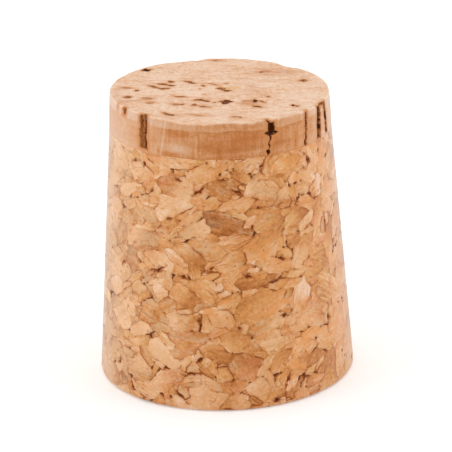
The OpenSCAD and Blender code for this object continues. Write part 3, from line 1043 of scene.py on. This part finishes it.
def carveDisc(phi, point, below, rimRadius, onWall):
    # each vertex takes the darkness of the hollow that it lies furthest inside, by mm, and the
    # depth of the deepest
    ragged = softNoise(point, 0.55, 41, 3) * 0.14 + softNoise(point, 0.25, 42, 3) * 0.06
    hollow = np.full(len(point), -1.0)
    dark = np.zeros(len(point))
    depth = np.zeros(len(point))

    def carve(inside, darkness, deep):
        wins = inside > hollow
        hollow[wins] = inside[wins]
        dark[wins] = darkness
        np.maximum(depth, deep * smooth(0.03, 0.22, inside), out=depth)

    # lenticels are upright slots in the wall, and some nick the face
    for angle, width, start, end, lean, notch, darkness in disc["lenticels"]:
        around = turnFrom(angle, phi) * rimRadius + ragged[:, 0] * 1.1 + lean * below * onWall
        reach = np.minimum(below - start, end - below) + ragged[:, 1]
        slot = np.minimum(width / 2 - np.abs(around), np.where(onWall, reach, notch + below))
        carve(slot, darkness, disc["slotDepth"] * darkness ** 1.5)

    around = turnFrom(disc["frontLenticel"], phi) * rimRadius + ragged[:, 0] * 0.8
    notch = np.minimum(0.3 - np.abs(around + 0.62), 0.45 + below)
    carve(np.where(onWall, frontPocket(around, below), notch), 1.0, 0.8)
    # a broken corner joins the tops of the two lenticels on the right
    around = turnFrom(disc["brokenCorner"], phi) * rimRadius + ragged[:, 1]
    hook = np.minimum(1.15 - np.abs(around), 0.26 - np.abs(below - 0.12 - 0.25 * around ** 2))
    carve(hook, 0.55, 0.25)
    carve(0.28 - np.hypot(around - 0.1, below - 0.1), 1.0, 0.4)

    for right, back, length, width, turn, darkness in disc["pores"]:
        away = point[:, :2] + ragged[:, :2] * disc["raggedPores"] - (right, back)
        cosine, sine = math.cos(math.radians(turn)), math.sin(math.radians(turn))
        along = away[:, 0] * cosine + away[:, 1] * sine
        across = away[:, 1] * cosine - away[:, 0] * sine
        bow = disc["bow"] * math.sin(9 * right + back)  # each is bowed its own way
        inside = lens(along, across + bow * along ** 2 / length, length, width)
        carve(np.where(onWall, -1.0, inside), darkness, disc["poreDepth"] * darkness)
    return hollow, dark, depth


def buildDisc():
    # lenticels, pores and roughness are pressed into the disc's skin along its normals, and wear
    # into its rim along the normals of the wall and the face together
    rings = np.arange(1, disc["faceRings"]) / disc["faceRings"]
    stages = np.append(np.arange(0, disc["wallRows"] + 1) / disc["wallRows"], 1 + rings)
    rows, columns = len(stages), disc["columns"]
    phi, s = skinGrid(stages, columns)
    point, normal, wall, face, rim = discSurface(phi, s)
    onWall = s <= 1
    rimRadius = wallRadius(rim) + disc["swelling"]
    # distance from the rim: down the wall above zero, in over the face below zero
    below = np.where(onWall, rim - point[:, 2], np.hypot(point[:, 0], point[:, 1]) - rimRadius)
    hollow, dark, depth = carveDisc(phi, point, below, rimRadius, onWall)

    # the rim is worn by a hair, and pressed down or broken in places
    worn = 1 + softNoise(point, 1.4, 43)[:, 0]
    worn *= disc["rimWear"] * np.exp(-np.abs(below) / 0.12)
    for angle, halfWidth, deep in disc["rimDips"]:
        around = turnFrom(angle, phi) * rimRadius
        worn += deep * bell(around, 0, halfWidth) * bell(below, 0, 0.45)
    depth += disc["roughness"] * (1 + softNoise(point, 0.6, 44)[:, 0])
    held = s < 0.001  # the row on the joint stays where it is
    point = point - normal * np.where(held, 0, depth)[:, None]
    point -= (wall + face) * np.where(held, 0, worn)[:, None]

    tone, red, lined = wallTone(phi, below)
    for right, back, halfWidth, halfDepth, strength in disc["facePatches"]:
        near = bell(point[:, 0], right, halfWidth) * bell(point[:, 1], back, halfDepth)
        red += np.where(onWall, 0, strength * near)
    broad = softNoise(point, 4.0, 45)[:, 0]
    tone = np.where(onWall, tone + 0.05 * broad, 0.60 + 0.14 * broad)

    # two more points close the grid under the joint and, just under the plane, in the face
    middles = [[0, 0, jointHeight], [0, 0, stopper["height"] - 0.02]]
    triangles = closedGrid(rows, columns, checkerboard(rows, columns))
    rimCut = columns + 2 * disc["wallRows"] * columns
    makePiece("naturalDisc", np.vstack([point, middles]), triangles, [columns, rimCut], {
        "hollow": np.append(hollow, [-1, -1]),
        "dark": np.append(dark, [0, 0]),
        "tone": np.append(tone, [0.5, 0.6]),
        "red": np.append(red, [0, 0]),
        "lined": np.append(lined, [0, 0]),
        "below": np.append(below, [stopper["discThickness"], -16]),
    }, "natural_disc", naturalCork())


studio = {
    "floorSize": 4.0,
    "floorShade": (0.92, 0.92, 0.92, 1.0),
    "floorGlow": 0.25,
    "frontLight": 0.52,  # the world is dim on the viewer's side and bright behind the stopper
    "backLight": 1.0,
    "lightChange": (-0.6, 0.2),  # from how far to the front to how far to the back it changes
    "aim": 0.022,  # the height in metres that the lamps aim at
    "lamps": [  # name, degrees to the side of the view, distance and height in metres, size, watts
        ("leftLamp", -65, 0.58, 0.10, 0.40, 1.46),
        ("rightLamp", 65, 0.58, 0.10, 0.40, 1.25),
        ("topLamp", 180, 0.10, 0.60, 0.50, 0.2),
    ],
}


def buildStudio():
    # a square of pale paper that the camera sees a little brighter than it is lit
    half = studio["floorSize"] / 2
    corners = [(x * half, y * half, 0) for x, y in ((-1, -1), (1, -1), (1, 1), (-1, 1))]
    mesh = bpy.data.meshes.new("floor")
    mesh.from_pydata(corners, [], [(0, 1, 2, 3)])
    shader = Shader(bpy.data.materials.new("floorPaper"))
    paper = shader.add("ShaderNodeBsdfDiffuse", "BSDF", {"Color": studio["floorShade"]})
    seen = shader.add("ShaderNodeLightPath", "Is Camera Ray", {})
    glow = shader.add("ShaderNodeEmission", "Emission", {
        "Color": (1, 1, 1, 1), "Strength": shader.times(seen, studio["floorGlow"])})
    both = shader.add("ShaderNodeAddShader", "Shader", {0: paper, 1: glow})
    mesh.materials.append(shader.finish(both))
    floor = addObject("floor", mesh)

    # the world's light goes by direction, and is plain white where the camera sees it
    world = bpy.data.worlds.new("studio")
    bpy.context.scene.world = world
    sky = Shader(world)
    direction = sky.add("ShaderNodeTexCoord", "Generated", {})
    depth = sky.add("ShaderNodeSeparateXYZ", "Y", {"Vector": direction})
    light = sky.fit(depth, *studio["lightChange"], studio["frontLight"], studio["backLight"])
    seen = sky.add("ShaderNodeLightPath", "Is Camera Ray", {})
    background = sky.add("ShaderNodeBackground", "Background", {
        "Color": (1, 1, 1, 1), "Strength": sky.math("MAXIMUM", light, seen)})
    sky.finish(background, "ShaderNodeOutputWorld")

    for name, side, away, height, size, watts in studio["lamps"]:
        light = bpy.data.lights.new(name, "AREA")
        light.shape = "DISK"
        light.size = size
        light.energy = watts
        lamp = addObject(name, light)
        angle = math.radians(side)
        lamp.location = (away * math.sin(angle), -away * math.cos(angle), height)
        aim = Vector((0, 0, studio["aim"])) - lamp.location
        lamp.rotation_euler = aim.to_track_quat("-Z", "Y").to_euler()


view = {
    "distance": 420.0,
    "elevation": 20.15,
    "roll": 1.76,
    "lens": 214.7,
    "aim": (0.41, 0.1, 22.70),
}


def buildCamera():
    # stands in front of the stopper's middle at its elevation, turns to its aim, and then rolls
    up = math.radians(view["elevation"])
    roll = math.radians(view["roll"])
    back = Vector((0, -math.cos(up), math.sin(up)))
    above = back.cross(Vector((1, 0, 0)))
    place = Vector((0, 0, stopper["height"] / 2)) + back * view["distance"]
    back = (place - Vector(view["aim"])).normalized()
    right = above.cross(back).normalized()
    above = back.cross(right)
    turnedRight = right * math.cos(roll) - above * math.sin(roll)
    turnedUp = right * math.sin(roll) + above * math.cos(roll)
    data = bpy.data.cameras.new("camera")
    data.lens = view["lens"]
    camera = addObject("camera", data)
    matrix = Matrix((turnedRight, turnedUp, back)).transposed().to_4x4()
    matrix.translation = place * mm
    camera.matrix_world = matrix
    bpy.context.scene.camera = camera


buildCamera()
buildStudio()
say("studio and camera set")
buildBody()
buildDisc()
bpy.context.scene.view_settings.view_transform = "Standard"


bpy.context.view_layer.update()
say("done")
